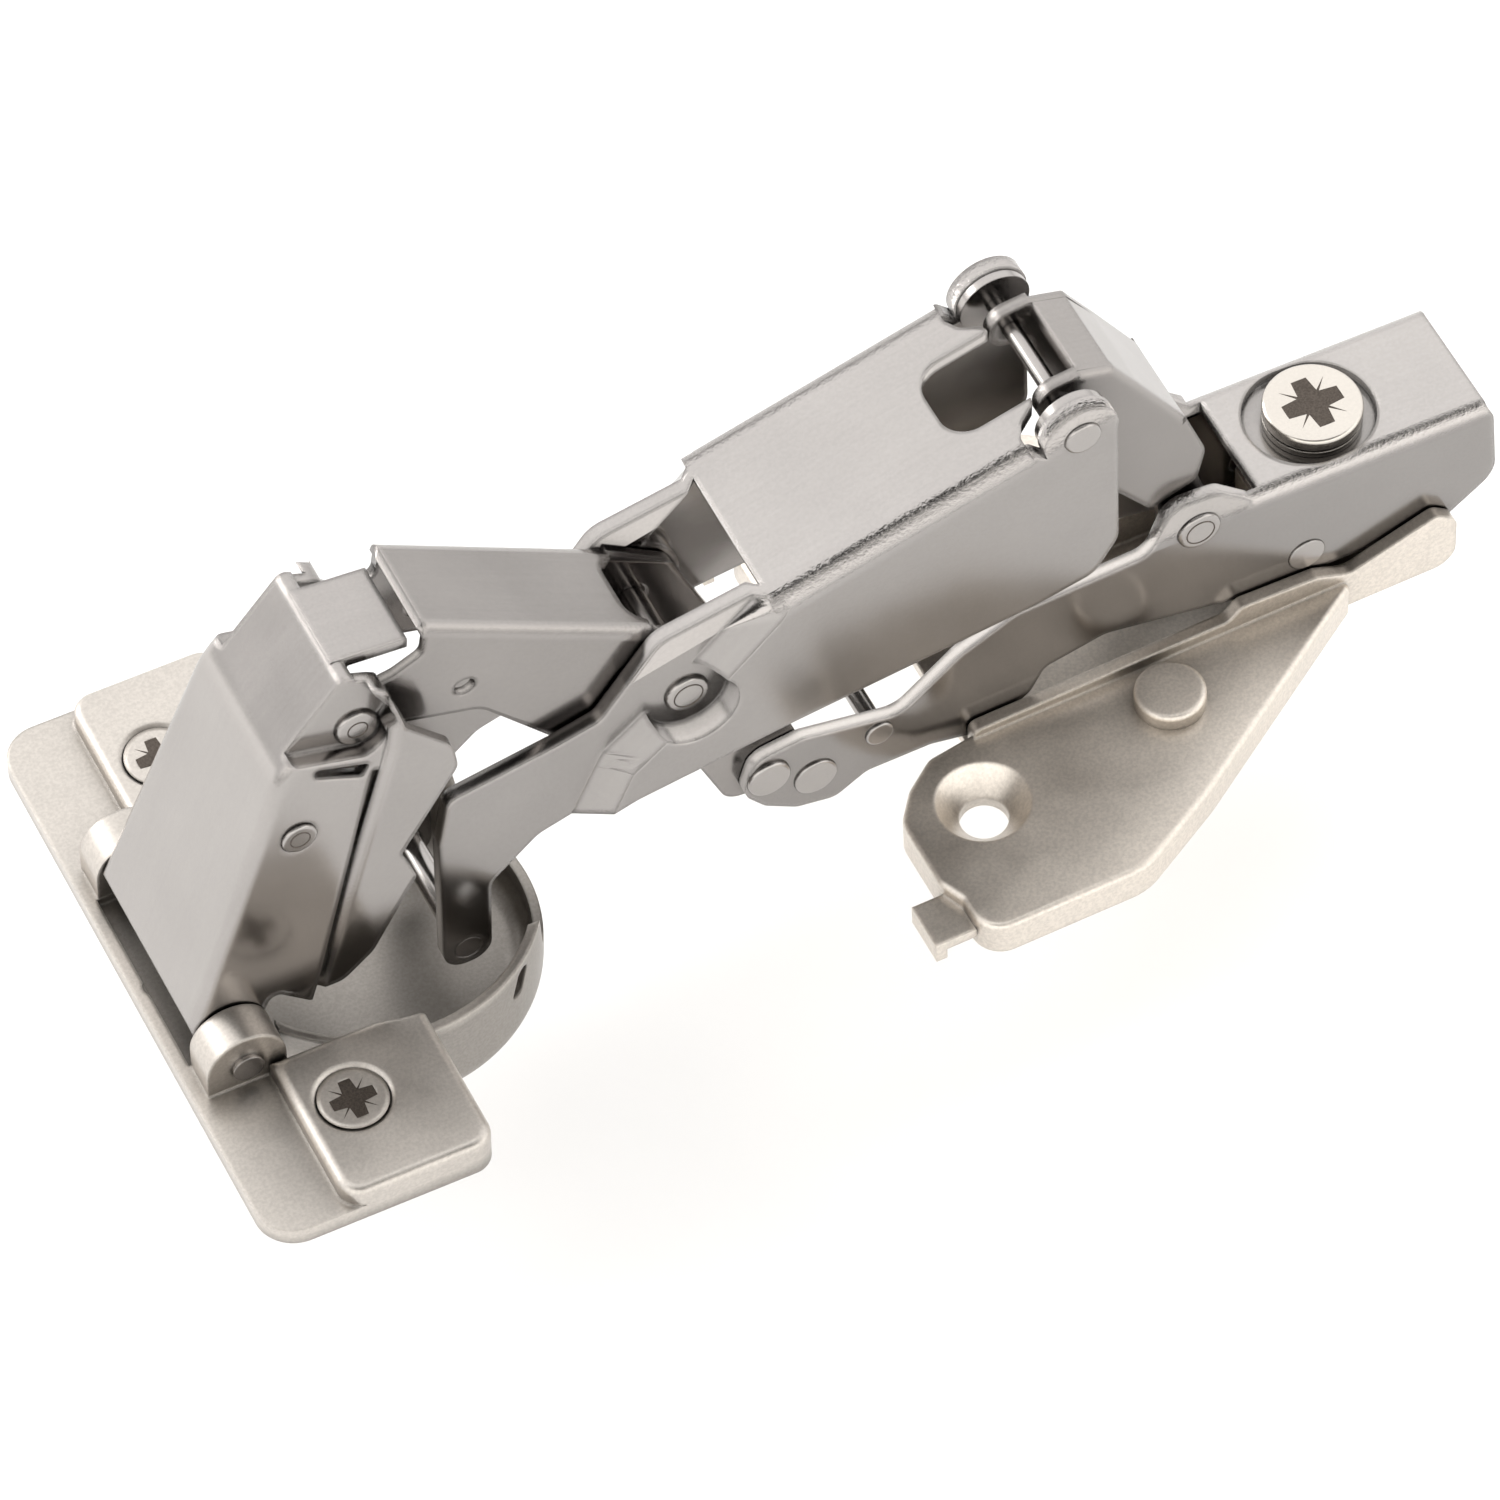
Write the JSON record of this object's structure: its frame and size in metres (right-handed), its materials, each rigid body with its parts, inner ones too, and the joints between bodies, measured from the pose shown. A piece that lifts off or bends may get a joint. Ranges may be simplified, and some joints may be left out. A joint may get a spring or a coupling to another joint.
{
  "type": "concealed cup hinge",
  "caption": "Concealed wide-angle cup hinge for a furniture door: flanged cup, folding stamped links, hinge arm and a screw-on mounting plate.",
  "frame": {"origin": "midpoint between the two screw holes of the mounting plate, on the face that meets the cabinet", "axes": "+X along the plate from the door to the cabinet's rear, +Y across the hinge, +Z out of the plate; the door stands square to the cabinet side at rest"},
  "size_m": [0.1447, 0.0656, 0.06],
  "materials": {
    "cup_steel": "satin nickel",
    "link_steel": "bright nickel",
    "arm_steel": "bright nickel",
    "plate_steel": "satin nickel",
    "pin_steel": "polished nickel",
    "screw_steel": "polished nickel"
  },
  "bodies": {
    "cup": {"cup_flange": "cup_steel", "cup_screw_near": "screw_steel", "cup_screw_far": "screw_steel", "knuckle_pin": "pin_steel"},
    "cover": {"cover_link": "link_steel", "cover_rivet": "pin_steel", "link_pin": "pin_steel"},
    "middle": {"middle_link": "link_steel"},
    "long": {"long_arm": "link_steel", "foot_pin": "pin_steel", "centre_pin": "pin_steel", "rear_pin": "pin_steel", "rear_collar_near": "pin_steel", "rear_collar_far": "pin_steel"},
    "short": {"short_link": "link_steel", "short_pin": "pin_steel"},
    "arm": {"hinge_arm": "arm_steel", "lower_pin": "pin_steel", "nose_stud_near": "pin_steel", "nose_stud_far": "pin_steel", "stop_pin": "pin_steel", "short_stud_near": "pin_steel", "short_stud_far": "pin_steel", "guide_stud_near": "pin_steel", "guide_stud_far": "pin_steel"},
    "screw": {"clamp_screw": "screw_steel"},
    "plate": {"mounting_plate": "plate_steel", "clamp_block": "plate_steel", "plate_stud_near": "pin_steel", "plate_stud_far": "pin_steel"}
  },
  "joints": [
    {"name": "arm_depth", "type": "slide", "parent": "plate", "child": "arm", "axis": [0.9992, 0, -0.0401], "range_m": [-0.0003, 0.001]},
    {"name": "clamp_turn", "type": "hinge", "parent": "plate", "child": "screw", "pos_m": [0.04451, 0, 0.01923], "axis": [0.0401, 0, 0.9992], "continuous": true},
    {"name": "fold", "type": "hinge", "parent": "arm", "child": "middle", "pos_m": [-0.01883, 0, 0.00966], "axis": [0, -1, 0], "range_deg": [-64.8, 31]},
    {"name": "long_arm_swing", "type": "hinge", "parent": "middle", "child": "long", "pos_m": [-0.02695, 0, 0.02931], "axis": [0, -1, 0], "range_deg": [-31.01, 64.81]},
    {"name": "short_link_swing", "type": "hinge", "parent": "long", "child": "short", "pos_m": [0.0141, 0, 0.04707], "axis": [0, -1, 0], "range_deg": [-47.96, 22.95]},
    {"name": "cover_swing", "type": "hinge", "parent": "middle", "child": "cover", "pos_m": [-0.06007, 0, 0.04425], "axis": [0, -1, 0], "range_deg": [-29, 60.6]},
    {"name": "cup_turn", "type": "hinge", "parent": "cover", "child": "cup", "pos_m": [-0.07774, 0, 0.01063], "axis": [0, -1, 0], "range_deg": [-85.81, 41.05]}
  ],
  "couplings": [
    {"joint": "long_arm_swing", "follows": "fold", "ratio": -1},
    {"joint": "short_link_swing", "follows": "fold", "ratio": 0.74},
    {"joint": "cover_swing", "follows": "fold", "ratio": -0.935},
    {"joint": "cup_turn", "follows": "fold", "ratio": 1.324}
  ]
}
